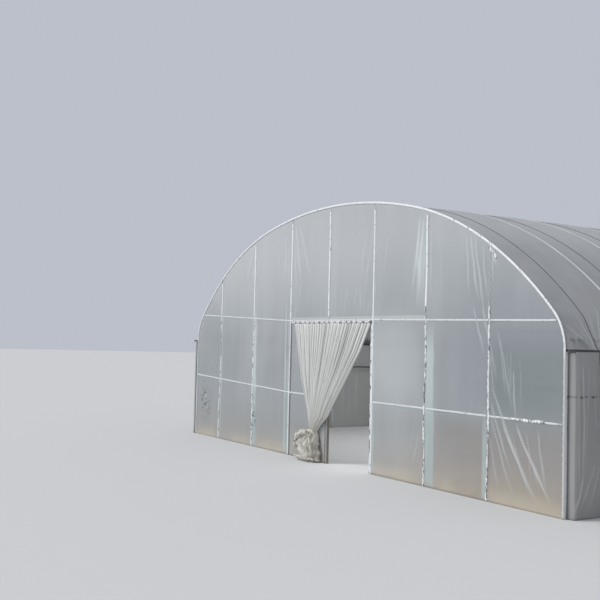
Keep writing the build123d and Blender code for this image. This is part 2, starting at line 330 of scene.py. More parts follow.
def settled(thing):
    """Turns an object and its modifiers into a plain mesh."""
    bpy.context.view_layer.update()
    seen_by = bpy.context.evaluated_depsgraph_get()
    mesh = bpy.data.meshes.new_from_object(thing.evaluated_get(seen_by))
    thing.modifiers.clear()
    thing.data = mesh
    return thing


def line_piece(name, lines, recipe, finish, **sizes):
    """Makes a piece by a recipe, in a finish, from one or more lines of points."""
    points = [point for line in lines for point in line]
    edges = []
    start = 0
    for line in lines:
        edges += [(start + i, start + i + 1) for i in range(len(line) - 1)]
        start += len(line)
    mesh = bpy.data.meshes.new(name)
    mesh.from_pydata(points, edges, [])
    piece = bpy.data.objects.new(name, mesh)
    bpy.context.collection.objects.link(piece)
    grown = piece.modifiers.new("recipe", "NODES")
    grown.node_group = recipe.tree
    for size, value in {**sizes, "Finish": finish.material}.items():
        grown[recipe.sockets[size]] = value
    return settled(piece)


def dim_door_post_foot(finish):
    """1 low on the doorway's left post and 0 elsewhere: darker and browner there, partly soil, partly
    painted shade.
    """
    on_gable = 1 - finish.axis("Y").rise(-2.5, -2.4)
    on_post = 1 - abs(finish.axis("X")).rise(0.02, 0.05)
    return on_gable * on_post * (1 - finish.axis("Z").rise(0.55, 0.85))


galvanised = Finish("galvanised_tube")
spangle = galvanised.node(
    "ShaderNodeTexVoronoi",
    inputs={"Vector": galvanised.place, "Scale": 90.0, "Randomness": 1.0},
).out("Color")
spangle = galvanised.node("ShaderNodeSeparateColor", inputs={0: spangle})
weather = galvanised.cloud((7, 7, 3), 4.0)
zinc = galvanised.mixed(spangle * 0.5 + weather * 0.4, (0.62, 0.64, 0.66, 1), (0.86, 0.87, 0.88, 1))
soiled = (1 - galvanised.axis("Z").rise(0.02, 0.3)) * weather.rise(0.35, 0.7)
# Partly soil and partly painted shade: the doorway's left post is darker and browner low down.
zinc = galvanised.mixed(dim_door_post_foot(galvanised), zinc, (0.22, 0.20, 0.16, 1))
galvanised.give(
    Base_Color=galvanised.mixed(soiled * 0.7, zinc, (0.42, 0.34, 0.26, 1)),
    Metallic=0.45,
    Roughness=0.34 + weather * 0.22 + soiled * 0.2,
)
galvanised.bump(weather, 0.0006, 0.4)

# Painted shade: a near-black tube finish for the side and middle channels, the side wires and the back
# rails, seen in the shade.
shaded_dark = Finish("weathered_tube")
dark_mottle = shaded_dark.cloud((9, 9, 9), 4.0)
shaded_dark.give(
    Base_Color=shaded_dark.mixed(dark_mottle, (0.06, 0.06, 0.06, 1), (0.15, 0.15, 0.148, 1)),
    Metallic=0.3,
    Roughness=0.5 + dark_mottle * 0.25,
)

tube = Recipe("tube_row", {"Radius": "Float", "Sides": "Int", "Copies": "Int", "Step": "Vector"})
skin = tube.swept(tube.path(), tube.given.out("Sides"), tube.given.out("Radius"))
spacing = {"Count": tube.given.out("Copies"), "Offset": tube.given.out("Step")}
places = tube.node("GeometryNodeMeshLine", inputs=spacing)
tube.end(tube.node("GeometryNodeInstanceOnPoints", inputs={"Points": places, "Instance": skin}))


def tubes(name, lines, finish, radius, sides, copies=1):
    """Tubes along lines, with copies of them all, one to a bay along the tunnel."""
    sizes = {"Radius": radius, "Sides": sides, "Copies": copies, "Step": (0, bay_length, 0)}
    return line_piece(name, lines, tube, finish, **sizes)


hoops = tubes("hoops", [arch_line(0, front_y)], galvanised, tube_radius, 14, bay_count + 1)
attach(hoops, "root")
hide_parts(*[f"hoop_{number}" for number in range(1, bay_count + 2)])

# Purlins: three straight galvanised tubes clamped under the hoops, one at the ridge and one on each
# haunch, which keep the hoops at their distance.
purlin_radius = 0.011
for node in ("ridge_purlin", "haunch_purlin_left", "haunch_purlin_right"):
    low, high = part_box(node)
    middle = (low + high) / 2
    ends = [(middle.x, low.y, middle.z), (middle.x, high.y, middle.z)]
    purlin = tubes(f"{node}_tube", [ends], galvanised, purlin_radius, 14)
    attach(purlin, "root")
    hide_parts(node)

# Gable posts: upright galvanised tubes in the hoop's own plane, cut at the top to the underside of
# the hoop. Two of the front ones stand at the sides of the doorway.
fit = 0.0003
left_posts = (-3.135, -2.045, -0.97)
right_posts = (1.985, 2.995)
door_post = 0.99


def gable_posts(name, reaches, y, node):
    """Posts from the ground to the hoop, their tops cut to its curve."""
    lines = [[(x, y, 0), (x, y, arch_height(x))] for x in reaches]
    posts = tubes(name, lines, galvanised, tube_radius, 16)
    for vertex in posts.data.vertices:
        vertex.co.z = min(vertex.co.z, arch_height(vertex.co.x, -tube_radius - fit))
    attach(posts, "root")
    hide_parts(node)


back_uprights = (-right_posts[1], -right_posts[0], -door_post, 0, door_post, *right_posts)
gable_posts("left_posts", left_posts, front_y, "front_posts_left")
gable_posts("doorway_posts", [0, door_post], front_y, "front_door_posts")
gable_posts("right_posts", right_posts, front_y, "front_posts_right")
gable_posts("back_posts", back_uprights, rear_y, "rear_posts")

# Gable rails: galvanised tubes clamped to the inner side of the posts, a lintel over the doorway and
# rails at hip height. The front ones rise towards the left corner, and the lintel falls to the right.
rail_radius = tube_radius
rail_inset = tube_radius + fit + rail_radius
lintel_height = 1.856
rail_height = 0.862
rail_rise = 0.12
rail_rise_start = 0.98
lintel_fall = 0.029


def rail_lift(x):
    """How far both front rails have risen at x, towards the left corner."""
    return rail_rise * max((-x - rail_rise_start) / (half_span - rail_rise_start), 0)


def lintel_lift(x):
    """How far the front lintel has risen at x, or fallen towards the right corner."""
    share = (x - door_post) / (half_span - door_post)
    return rail_lift(x) - lintel_fall * max(share, 0)


def leg_reach(z):
    """Distance from the middle to the hoop's centreline at a height up to the shoulder bend."""
    rise = max(z - leg_height, 0)
    return shoulder_centre[0] + math.sqrt(shoulder_radius**2 - rise**2)


def gable_rail(name, node, height, route, y, finish, lift=None):
    """A rail through these places across the gable, level or lifted by a rule."""
    line = [(x, y, height + (lift(x) if lift else 0)) for x in route]
    rail = tubes(name, [line], finish, rail_radius, 16)
    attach(rail, "root")
    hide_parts(node)


left_lintel_reach = leg_reach(lintel_height + rail_rise)
right_lintel_reach = leg_reach(lintel_height - lintel_fall)
back_lintel_reach = leg_reach(lintel_height)
lintel_route = (-left_lintel_reach, -rail_rise_start, door_post, right_lintel_reach)
left_route = (-half_span, -rail_rise_start, 0)
right_route = (door_post, half_span)
back_lintel_route = (-back_lintel_reach, back_lintel_reach)
back_route = (-half_span, half_span)
front_rail_y = front_y + rail_inset
back_rail_y = rear_y - rail_inset
gable_rail(
    "lintel", "front_lintel", lintel_height, lintel_route, front_rail_y, galvanised, lintel_lift
)
gable_rail(
    "left_rail", "front_mid_rail_left", rail_height, left_route, front_rail_y, galvanised, rail_lift
)
gable_rail(
    "right_rail", "front_mid_rail_right", rail_height, right_route, front_rail_y, galvanised
)
# The back lintel and back rail take the near-black painted-shade finish.
gable_rail("back_lintel", "rear_lintel", lintel_height, back_lintel_route, back_rail_y, shaded_dark)
gable_rail("back_rail", "rear_mid_rail", rail_height, back_route, back_rail_y, shaded_dark)

# Lock channels: rolled galvanised strip with a groove, screwed to the arch, the rails, the posts
# and the legs. A zigzag spring wire pressed into the groove holds the film.
def redress(finish, *nodes):
    """Gives a finish to pieces that are shown as they were drawn."""
    for node in nodes:
        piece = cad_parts[node]
        piece.data.materials.clear()
        piece.data.materials.append(finish.material)


channel_finish = Finish("lock_channel")
rolled = channel_finish.cloud((9, 9, 9), 4.0)
bright_steel = channel_finish.mixed(rolled, (0.80, 0.82, 0.83, 1), (0.94, 0.95, 0.95, 1))
# Partly soil and partly painted shade: the channel on the doorway's left post is darker low down.
dim_foot_share = dim_door_post_foot(channel_finish) * 0.9
channel_finish.give(
    Base_Color=channel_finish.mixed(dim_foot_share, bright_steel, (0.20, 0.18, 0.145, 1)),
    Metallic=0.25,
    Roughness=0.3 + rolled * 0.2,
)
redress(channel_finish, "front_arch_channel", "front_lintel_channel", "front_post_channels")
redress(channel_finish, "front_mid_rail_channels", "rear_arch_channel")
# Painted shade: the side and middle channels are near black.
redress(shaded_dark, "side_channel_left", "side_channel_right", "mid_channel_left", "mid_channel_right")
channel_front = front_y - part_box("front_arch_channel")[0].y

wire_finish = Finish("zigzag_wire")
coating = wire_finish.cloud((30, 30, 30))
wire_finish.give(
    Base_Color=wire_finish.mixed(coating, (0.80, 0.82, 0.82, 1), (0.93, 0.94, 0.94, 1)),
    Roughness=0.35,
)
wire_radius = 0.0016
wire_swing = 0.0085
wire_pitch = 0.075
wire_stand = 0.0055
wire_margin = 0.02
wire_foot = 0.04
wire_step = 0.125
wire_sizes = {"Pitch": "Float", "Swing": "Float", "Radius": "Float", "Face": "Vector"}
wire = Recipe("zigzag_wire", wire_sizes)
groove = wire.path(wire.given.out("Pitch") * wire_step)
along = wire.node("GeometryNodeSplineParameter").out("Length")
wave = (along / wire.given.out("Pitch") * math.tau).maths("SINE") * wire.given.out("Swing")
tangent = wire.node("GeometryNodeInputTangent")
sideways = wire.vector("CROSS_PRODUCT", {0: tangent, 1: wire.given.out("Face")})
zigzag = wire.moved(groove, wire.vector("SCALE", {0: sideways, "Scale": wave}))
wire.end(wire.swept(zigzag, 5, wire.given.out("Radius")))
groove_y = front_y - channel_front
crossing_gap = 0.02
groove_margin = 0.03
corner_margin = 0.014
channel_posts = (left_posts[1], 0, door_post, *right_posts)


def upright_lines(x, y):
    """Two lines up the channel of the post at x, below and above its crossing with the lintel."""
    crossing = lintel_height + lintel_lift(x)
    top = arch_height(x, -groove_margin)
    return [
        [(x, y, groove_margin), (x, y, crossing - crossing_gap)],
        [(x, y, crossing + crossing_gap), (x, y, top)],
    ]


def rail_line(xs, y, height, lift):
    """A line along a front rail."""
    return [(x, y, height + lift(x)) for x in xs]


def groove_lines(y):
    """Lines along the grooves of the front lintel and of the middle rails, at y."""
    lintel_left = groove_margin - left_lintel_reach
    lintel_right = right_lintel_reach - groove_margin
    lintel_xs = (lintel_left, -rail_rise_start, door_post, lintel_right)
    stretches = (
        (groove_margin - half_span, left_posts[1] - crossing_gap),
        (left_posts[1] + crossing_gap, -rail_rise_start, -crossing_gap),
        (door_post + crossing_gap, right_posts[0] - crossing_gap),
        (right_posts[0] + crossing_gap, right_posts[1] - crossing_gap),
        (right_posts[1] + crossing_gap, half_span - corner_margin),
    )
    rails = [rail_line(xs, y, rail_height, rail_lift) for xs in stretches]
    return [rail_line(lintel_xs, y, lintel_height, lintel_lift), *rails]


wire_y = groove_y - wire_stand
back_wire_y = rear_y + channel_front + wire_stand
post_lines = [line for x in channel_posts for line in upright_lines(x, wire_y)]
side_wires = []
for side in (-1, 1):
    for channel in ("side_channel", "mid_channel"):
        low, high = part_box(f"{channel}_{'left' if side < 0 else 'right'}")
        outer = (high.x if side > 0 else low.x) + side * wire_radius
        middle = (low.z + high.z) / 2
        ends = (low.y + wire_margin, high.y - wire_margin)
        side_wires.append([(outer, y, middle) for y in ends])
# The side wires take the near-black painted-shade finish.
for name, lines, face, finish in (
    ("front_arch_wire", [arch_line(0, wire_y, wire_foot)], (0, 1, 0), wire_finish),
    ("rear_arch_wire", [arch_line(0, back_wire_y, wire_foot)], (0, 1, 0), wire_finish),
    ("post_wires", post_lines, (0, 1, 0), wire_finish),
    ("rail_wires", groove_lines(wire_y), (0, 1, 0), wire_finish),
    ("side_wires", side_wires, (1, 0, 0), shaded_dark),
):
    bends = {"Pitch": wire_pitch, "Swing": wire_swing, "Radius": wire_radius, "Face": face}
    zigzags = line_piece(name, lines, wire, finish, **bends)
    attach(zigzags, "root")

# Gable films: clear greenhouse film gone hazy with dust and dew, stretched over the channels. Where
# two widths lap it is doubled, and it is drawn into folds beside the posts.
film_thickness = 0.0012
film_face = channel_front + fit


def film_piece(name, grid, marks, finish, thickness=film_thickness):
    """A closed thin film from a grid of points, with marks such as how creased it is at each."""
    rows, columns = grid.shape[:2]
    number = np.arange(rows * columns).reshape(rows, columns)
    corners = (number[:-1, :-1], number[:-1, 1:], number[1:, 1:], number[1:, :-1])
    faces = np.stack([corner.ravel() for corner in corners], axis=1)
    mesh = bpy.data.meshes.new(name)
    mesh.from_pydata(grid.reshape(-1, 3).tolist(), [], faces.tolist())
    for mark, values in marks.items():
        attribute = mesh.attributes.new(mark, "FLOAT", "POINT")
        attribute.data.foreach_set("value", np.asarray(values, np.float32).ravel())
    piece = bpy.data.objects.new(name, mesh)
    bpy.context.collection.objects.link(piece)
    walls = piece.modifiers.new("walls", "SOLIDIFY")
    walls.thickness = thickness
    walls.offset = 0
    settled(piece)
    shell = bmesh.new()
    shell.from_mesh(piece.data)
    bmesh.ops.recalc_face_normals(shell, faces=shell.faces)
    shell.to_mesh(piece.data)
    shell.free()
    piece.data.shade_smooth()
    piece.data.materials.clear()
    piece.data.materials.append(finish.material)
    return piece


def mark(finish, name):
    """A mark that was written on the film's points."""
    return finish.node("ShaderNodeAttribute", {"attribute_name": name}).out("Fac")


def clear_over(value, places, half_width, soft):
    """1 where the value is at one of these places, as where film lies on a tube, and 0 between."""
    mask = None
    for place in places:
        near = 1 - abs(value - place).rise(half_width, half_width + soft)
        mask = near if mask is None else mask.maths("MAXIMUM", near)
    return mask


def spot(finish, centre, reach):
    """1 in the middle of a round spot and 0 outside it."""
    x = (finish.axis("X") - centre[0]) / reach[0]
    z = (finish.axis("Z") - centre[1]) / reach[1]
    return 1 - (x * x + z * z).maths("SQRT").rise(0.25, 1.0)


class Film(Finish):
    """Dusty film: its colour, and how much of what is behind it each of its faces hides."""

    def __init__(self, name, haze, dark, light):
        super().__init__(name)
        self.crease = mark(self, "crease")
        self.patches = self.cloud((0.75, 0.75, 0.6), 2.5, 0.5)
        self.streaks = self.cloud((4.5, 4.5, 0.55), 3.0, 0.5)
        self.dust = self.cloud((60, 60, 60), 5.0, 0.7)
        share = self.patches.rise(0.32, 0.68) * 0.7 + self.streaks.rise(0.3, 0.7) * 0.3
        self.body = self.mixed(share, dark, light)
        self.hides = haze + self.streaks * 0.06 + self.patches * 0.06 + self.dust * 0.05

    def stain(self, share, colour, hides=0.0):
        """Mixes a colour in where share says, and may make the film hide more there."""
        self.body = self.mixed(share, self.body, colour)
        if hides:
            self.hides = self.hides + share * hides

    def dress(self, creased, hides=0.22):
        """Adds the creases and links all to the shader."""
        self.stain(self.crease.rise(0.0, 1.0) * 0.66, creased, hides)
        self.give(
            Base_Color=self.body,
            Roughness=0.30 + self.dust * 0.2 + self.patches * 0.12,
            Alpha=self.hides.maths("MINIMUM", 0.985).maths("MAXIMUM", 0.02),
            Specular_IOR_Level=0.35,
        )
        self.bump(self.streaks * 0.5 + self.dust * 0.3, 0.003, 0.35)


def gable_film_finish(name, uprights):
    """Film of a gable: painted light up where the sky shows through, painted shade low in the right
    bays.
    """
    film = Film(name, 0.62, (0.40, 0.421, 0.447, 1), (0.49, 0.511, 0.527, 1))
    x = film.axis("X")
    z = film.axis("Z")
    # Painted light: the film is paler up high, most of all on the left.
    upper = z.rise(1.5, 2.9)
    film.stain(upper * (0.85 - x.rise(-3.0, 4.0) * 0.45), (0.68, 0.70, 0.72, 1))
    # Painted shade low in the bays on the right, darkest in the last one.
    shade = x.rise(1.6, 3.2) * z.rise(0.4, 1.1) * (1 - upper)
    film.stain(shade * 0.62, (0.30, 0.33, 0.36, 1))
    last_bay_shade = shade * x.rise(2.9, 3.15) * (1 - z.rise(1.4, 1.9))
    film.stain(last_bay_shade * 0.55, (0.21, 0.245, 0.25, 1))
    tinge = film.cloud((1.1, 1.1, 0.9), 2.0).rise(0.5, 0.72) * x.rise(0.8, 2.6) * (1 - upper)
    film.stain(tinge * 0.4, (0.33, 0.38, 0.375, 1))
    splashes = film.cloud((1.6, 1.6, 1.2), 3.0)
    dusty = 1 - z.rise(0.35, 0.95)
    film.stain(dusty * 0.5, (0.395, 0.395, 0.385, 1))
    brown = (1 - z.rise(0.6, 0.92)) * x.rise(1.5, 2.7)
    film.stain(brown * 0.66, (0.30, 0.27, 0.25, 1))
    warm = (1 - z.rise(0.06, 0.5)) * (0.45 + splashes * 0.9)
    film.stain(warm * (0.3 + x.rise(0.5, 3.0) * 0.55), (0.475, 0.415, 0.345, 1))
    caked = (1 - z.rise(0.0, 0.22)) * splashes.rise(0.25, 0.6)
    film.stain(caked * 0.8, (0.60, 0.54, 0.44, 1), 0.05)
    lapped = mark(film, "lap")
    doubled = film.mixed(z.rise(0.5, 1.3), (0.45, 0.53, 0.53, 1), (0.575, 0.64, 0.64, 1))
    film.stain(lapped * 0.8, doubled, 0.2)
    bare = clear_over(x, uprights, 0.0125, 0.004)
    film.hides = film.hides * (1 - bare * 0.5)
    return film


gable_film = gable_film_finish("gable_film", (left_posts[0], left_posts[2]))
film_x = gable_film.axis("X")
film_z = gable_film.axis("Z")
# Painted light: a pale round spot in the bay right of the doorway.
painted_light_spot = spot(gable_film, (1.42, 1.40), (0.72, 0.78)) * (1 - film_x.rise(1.9, 2.0))
gable_film.stain(painted_light_spot * 0.6, (0.60, 0.625, 0.635, 1))
head = clear_over(film_z, (lintel_height + 0.012,), 0.028, 0.010)
head = head * film_x.rise(-0.97, -0.93) * (1 - film_x.rise(1.96, 2.00))
gable_film.stain(head * 0.5, (0.66, 0.68, 0.68, 1), 0.2)
specks = gable_film.cloud((16, 34, 34), 3.0, 0.7)
for centre, reach in (((-3.66, 0.55), (0.26, 0.42)), ((-2.0, 0.50), (0.12, 0.46))):
    fouled = spot(gable_film, centre, reach)
    gable_film.stain(specks.rise(0.56, 0.59) * fouled, (0.02, 0.02, 0.018, 1), 0.15)
    gable_film.stain((1 - specks.rise(0.36, 0.40)) * fouled * 0.4, (0.86, 0.86, 0.84, 1), 0.1)
# Painted shade: dark lines where shaded post tubes show through the film, right of the post left of the
# doorway and left of the doorway's left post.
pipe_shade = clear_over(film_x, (left_posts[2] + 0.030, -0.026), 0.012, 0.006)
pipe_shade = pipe_shade * (1 - film_z.rise(lintel_height - 0.05, lintel_height - 0.03))
gable_film.stain(pipe_shade * 0.85, (0.12, 0.125, 0.13, 1), 0.2)
gable_film.dress((0.66, 0.69, 0.695, 1))


def folds(x, z, fans):
    """Height and sharpness of the folds at each point of a film: each fold is a straight ridge."""
    lift = np.zeros_like(x)
    for (start_x, start_z), (end_x, end_z), width, height in fans:
        dx, dz = end_x - start_x, end_z - start_z
        length = math.hypot(dx, dz)
        along = ((x - start_x) * dx + (z - start_z) * dz) / length**2
        off = ((x - start_x) * dz - (z - start_z) * dx) / length
        off = off + 0.005 * np.sin(along * 6 + start_x * 40) + 0.003 * np.sin(along * 15 + start_z * 30)
        spread = width * (0.55 + 0.75 * np.clip(along, 0, 1))
        inside = np.clip(along * 7, 0, 1) * np.clip((1 - along) * 2.5, 0, 1)
        lift = np.maximum(lift, height * inside * np.exp(-((off / spread) ** 2)))
    return lift


def fold_fan(seed, count, start, end, spread, width, height):
    """Folds that run from near start to near end, fanned out by spread at their far ends."""
    draw = random.Random(seed)
    fan = []
    for i in range(count):
        share = i / max(count - 1, 1) - 0.5
        jitter = draw.uniform(-0.12, 0.12)
        begin = (
            start[0] + draw.uniform(-0.02, 0.02) + spread[0] * share,
            start[1] + draw.uniform(-0.12, 0.12),
        )
        finish = (
            end[0] + spread[1] * (share + jitter),
            end[1] + draw.uniform(-0.2, 0.2),
        )
        fan.append((begin, finish, width * draw.uniform(0.6, 1.4), height * draw.uniform(0.4, 1.0)))
    return fan


def lapping(x, z, laps):
    """1 where the film is doubled, from left to right and from low to high, softly ended."""
    doubled = np.zeros_like(x)
    for left, right, low, high in laps:
        wander = 0.005 * np.sin(z * 7.0 + left * 5) + 0.004 * np.sin(z * 17.0 + right)
        wider = right + wander + 0.025 * np.clip(0.9 - z, -0.6, 0.9)
        sides = np.clip((x - left) / 0.014, 0, 1) * np.clip((wider - x) / 0.022, 0, 1)
        ends = np.clip((z - low) / (0.5 if low else 0.05), 0, 1) * np.clip((high - z) / 0.35, 0, 1)
        doubled = np.maximum(doubled, sides * ends)
    return doubled


def gable_grid(columns, low, out, y, outward, fans, laps=(), rows=100):
    """A film over the gable between the ground and the arch, lifted outwards along its folds."""
    columns = np.asarray(columns)
    top = np.array([arch_height(x, out) for x in columns])
    share = np.linspace(0, 1, rows)[:, None]
    x = np.repeat(columns[None, :], rows, axis=0)
    z = low + share * (top[None, :] - low)
    lift = folds(x, z, fans)
    slack = np.array([
        noise.noise(Vector((a * 2.2, b * 1.6, y))) for a, b in zip(x.ravel(), z.ravel())
    ]).reshape(x.shape)
    edge = np.minimum(1, (1 - share) * 12)
    away_from_film = lift + 0.003 * (slack + 1) * edge
    place = y + outward * away_from_film
    area = float(np.sum((top[1:] + top[:-1] - 2 * low) / 2 * np.diff(columns)))
    marks = {"crease": lift / 0.010, "lap": lapping(x, z, laps)}
    return np.stack([x, place, z], axis=2), marks, area


def columns_between(left, right, step, out):
    """Where the columns of points stand: evenly, and closer together round the shoulder bends."""
    count = max(int((right - left) / step), 2)
    xs = list(np.linspace(left, right, count + 1))
    for angle in bend_angles(0, 14, 1, 1)[:14]:
        for side in (-1, 1):
            x = side * bend_at(angle, out)[0]
            if left < x < right:
                xs.append(x)
    return np.unique(np.round(xs, 5))


film_out = 0.003
# Each fold has its start and end as x and z, its width and how far it stands out
left_fans = [
    ((-2.08, 2.98), (-2.33, 2.45), 0.030, 0.006),
    ((-2.02, 2.95), (-2.13, 2.35), 0.024, 0.005),
    ((-1.32, 2.95), (-1.33, 2.35), 0.020, 0.004),
    ((-1.14, 3.14), (-1.15, 2.30), 0.030, 0.007),
    ((-1.05, 3.02), (-1.06, 2.25), 0.026, 0.006),
    ((-0.90, 3.24), (-0.70, 2.30), 0.034, 0.008),
    ((-0.80, 3.22), (-0.42, 2.30), 0.036, 0.006),
    ((-0.93, 3.05), (-0.80, 2.20), 0.022, 0.006),
    *fold_fan(2, 6, (-0.72, 1.86), (-0.66, 2.35), (0.34, 0.40), 0.016, 0.006),
    *fold_fan(3, 5, (-3.11, 2.1), (-3.09, 0.5), (0.05, 0.10), 0.018, 0.006),
    *fold_fan(4, 5, (-2.00, 2.1), (-1.97, 0.3), (0.05, 0.10), 0.018, 0.005),
]
# Each lap has its left and right edge, its foot and its top
left_laps = (
    (-3.16, -3.09, 0.0, 2.2),
    (-2.075, -1.93, 0.0, 2.1),
    (-1.12, -1.055, 0.0, 2.2),
    (-1.035, -0.985, 0.0, 2.2),
)
door_fans = [
    ((0.96, 3.00), (0.80, 2.10), 0.022, 0.005),
    ((0.86, 3.05), (0.66, 2.20), 0.026, 0.004),
    *fold_fan(6, 9, (0.48, 1.86), (0.50, 2.30), (0.90, 0.95), 0.016, 0.006),
]
right_fans = [
    ((1.27, 2.90), (1.18, 2.30), 0.016, 0.004),
    ((1.87, 3.06), (1.74, 2.10), 0.025, 0.010),
    ((1.93, 3.06), (1.84, 2.00), 0.022, 0.010),
    ((1.78, 2.80), (1.93, 2.05), 0.014, 0.006),
    ((2.05, 2.90), (2.08, 2.05), 0.016, 0.006),
    ((2.20, 2.75), (2.26, 2.10), 0.015, 0.004),
    ((2.64, 2.78), (2.70, 2.05), 0.014, 0.008),
    ((2.69, 2.78), (2.86, 1.95), 0.016, 0.010),
    ((2.77, 2.74), (2.93, 1.85), 0.015, 0.010),
    ((2.89, 2.66), (2.97, 2.00), 0.014, 0.008),
    ((2.98, 2.62), (3.12, 2.36), 0.014, 0.012),
    ((3.05, 2.60), (3.04, 2.20), 0.012, 0.008),
    ((2.76, 2.00), (2.94, 1.45), 0.015, 0.008),
    ((2.90, 2.00), (3.00, 1.60), 0.014, 0.008),
    ((3.01, 1.62), (3.14, 1.20), 0.014, 0.006),
    ((3.13, 1.75), (3.37, 0.85), 0.014, 0.006),
    ((3.16, 1.66), (3.27, 1.00), 0.016, 0.005),
    ((3.36, 1.36), (3.385, 0.80), 0.011, 0.009),
    ((3.30, 1.60), (3.34, 1.00), 0.013, 0.004),
    ((3.01, 1.22), (3.67, 0.03), 0.014, 0.009),
    ((3.01, 1.06), (3.36, 0.28), 0.014, 0.008),
    ((3.17, 0.84), (3.72, 0.03), 0.016, 0.011),
    ((3.02, 0.90), (3.40, 0.02), 0.014, 0.007),
    ((3.37, 0.85), (3.88, 0.05), 0.015, 0.012),
    ((3.68, 0.82), (3.80, 0.15), 0.018, 0.006),
    ((3.56, 0.74), (3.60, 0.20), 0.015, 0.004),
    ((3.02, 1.50), (3.10, 1.05), 0.010, 0.006),
    ((3.05, 1.20), (3.30, 0.62), 0.010, 0.006),
    ((3.10, 1.80), (3.22, 1.35), 0.012, 0.004),
    ((3.01, 0.70), (3.20, 0.05), 0.012, 0.006),
    ((3.26, 1.55), (3.33, 0.90), 0.010, 0.005),
    ((3.44, 1.50), (3.47, 0.90), 0.010, 0.004),
    ((3.30, 0.80), (3.60, 0.10), 0.010, 0.006),
    ((3.50, 0.80), (3.74, 0.12), 0.010, 0.006),
    ((2.06, 0.62), (2.02, 0.15), 0.014, 0.004),
    ((1.90, 0.62), (1.80, 0.15), 0.012, 0.005),
    ((1.84, 0.70), (1.70, 0.25), 0.010, 0.004),
]
right_laps = (
    (1.985, 2.15, 0.0, 1.85),
    (2.915, 2.985, 0.0, 0.95),
    (0.978, 1.035, 0.0, 2.6),
    (1.80, 1.975, 1.95, 3.06),
)
jamb = 0.0125
edge_x = half_span + film_out
head_ends = (jamb + fit, door_post - jamb - fit)
head_low = lintel_height - jamb
for name, node, (left, right), low, fans, laps in (
    ("left_gable_film", "front_film_left", (-edge_x, jamb), 0.0, left_fans, left_laps),
    ("door_head_film", "front_film_over_door", head_ends, head_low, door_fans, ()),
    ("right_gable_film", "front_film_right", (door_post - jamb, edge_x), 0.0, right_fans, right_laps),
):
    columns = columns_between(left, right, 0.014, film_out)
    grid, marks, area = gable_grid(columns, low, film_out, front_y - film_face, -1, fans, laps)
    film = film_piece(name, grid, marks, gable_film)
    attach(film, "root")
    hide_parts(node)
    height = float(grid[..., 2].max() - low)
    right - left
    min(area, (right - left) * height)
rear_finish = gable_film_finish("rear_film", back_uprights)
# Painted light: the back gable is lightened in large soft patches, for the daylight it lets through.
rear_finish.stain(rear_finish.cloud((1, 1, 1)) * 0.9, (0.66, 0.67, 0.66, 1))
rear_finish.dress((0.74, 0.775, 0.785, 1))
rear_fans = []
for number, x in enumerate(back_uprights):
    tall = arch_height(x)
    rear_fans += fold_fan(20 + number, 5, (x, tall - 0.2), (x, 1.9), (0.08, 0.3), 0.024, 0.007)
columns = columns_between(-edge_x, edge_x, 0.03, film_out)
grid, marks, area = gable_grid(columns, 0.0, film_out, rear_y + film_face, 1, rear_fans, rows=64)
film = film_piece("back_gable_film", grid, marks, rear_finish)
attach(film, "root")
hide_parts("rear_film")

# Film tucks: the film's spare edge, crumpled into the grooves by the zigzag wire. It is bright where
# it is bunched, with painted highlights, and painted shade darkens the gaps between its puckers on the
# posts and over the curtain.
def tuck_finish(name, shaded_gaps, dull=(0.74, 0.77, 0.785, 1), bright=(0.95, 0.96, 0.96, 1)):
    """Bunched film with painted highlights, and painted shade between its puckers and up the hoop's
    right leg.
    """
    tuck = Finish(name)
    pucker = tuck.cloud((55, 55, 16), 3.0, 0.6)
    highlight_shine = tuck.cloud((24, 24, 9), 2.0)
    body = tuck.mixed(highlight_shine, dull, bright)
    edge = 0.62 - shaded_gaps * 0.3
    # Painted shade: dark gaps between the puckers.
    body = tuck.mixed(pucker.rise(edge, edge + 0.06) * 0.85, body, (0.10, 0.105, 0.11, 1))
    shaded = tuck.axis("X").rise(3.90, 3.95) * (1 - tuck.axis("Z").rise(1.40, 1.62))
    body = tuck.mixed(shaded * 0.75, body, (0.44, 0.45, 0.455, 1))
    tuck.give(Base_Color=body, Roughness=0.3 + highlight_shine * 0.2)
    tuck.bump(pucker, 0.003, 0.6)
    return tuck


tuck_step = 0.022
tuck_sizes = dict.fromkeys(("Width", "Depth", "Crumple", "Fineness", "Wall"), "Float")
tuck = Recipe("film_tuck", tuck_sizes)
tuck_skin = tuck.swept(tuck.path(tuck_step), 8, tuck.given.out("Width") * 0.5)
place = tuck.node("GeometryNodeInputPosition")
noise_sizes = {"Vector": place, "Scale": tuck.given.out("Fineness"), "Detail": 2.0}
rumple = tuck.node("ShaderNodeTexNoise", inputs=noise_sizes).out("Color")
rumple = tuck.vector("SUBTRACT", {0: rumple, 1: (0.5, 0.5, 0.5)})
rumple = tuck.vector("SCALE", {0: rumple, "Scale": tuck.given.out("Crumple")})
tuck_skin = tuck.moved(tuck_skin, rumple)
flatness = tuck.given.out("Depth") / tuck.given.out("Width")
from_wall = tuck.node("ShaderNodeSeparateXYZ", inputs={0: place}).out("Y") - tuck.given.out("Wall")
flatten = tuck.node("ShaderNodeCombineXYZ", inputs={"Y": from_wall * (flatness - 1)})
tuck.end(tuck.moved(tuck_skin, flatten))
clean_tuck = tuck_finish("film_tuck", 0.0)
puckered_tuck = tuck_finish("puckered_tuck", 0.42)
dull_tuck = tuck_finish("dull_tuck", 0.0, (0.58, 0.61, 0.62, 1), (0.76, 0.79, 0.80, 1))
tuck_stand = 0.005
tuck_y = front_y - film_face - tuck_stand
back_tuck_y = rear_y + film_face + tuck_stand
tuck_foot = 0.01


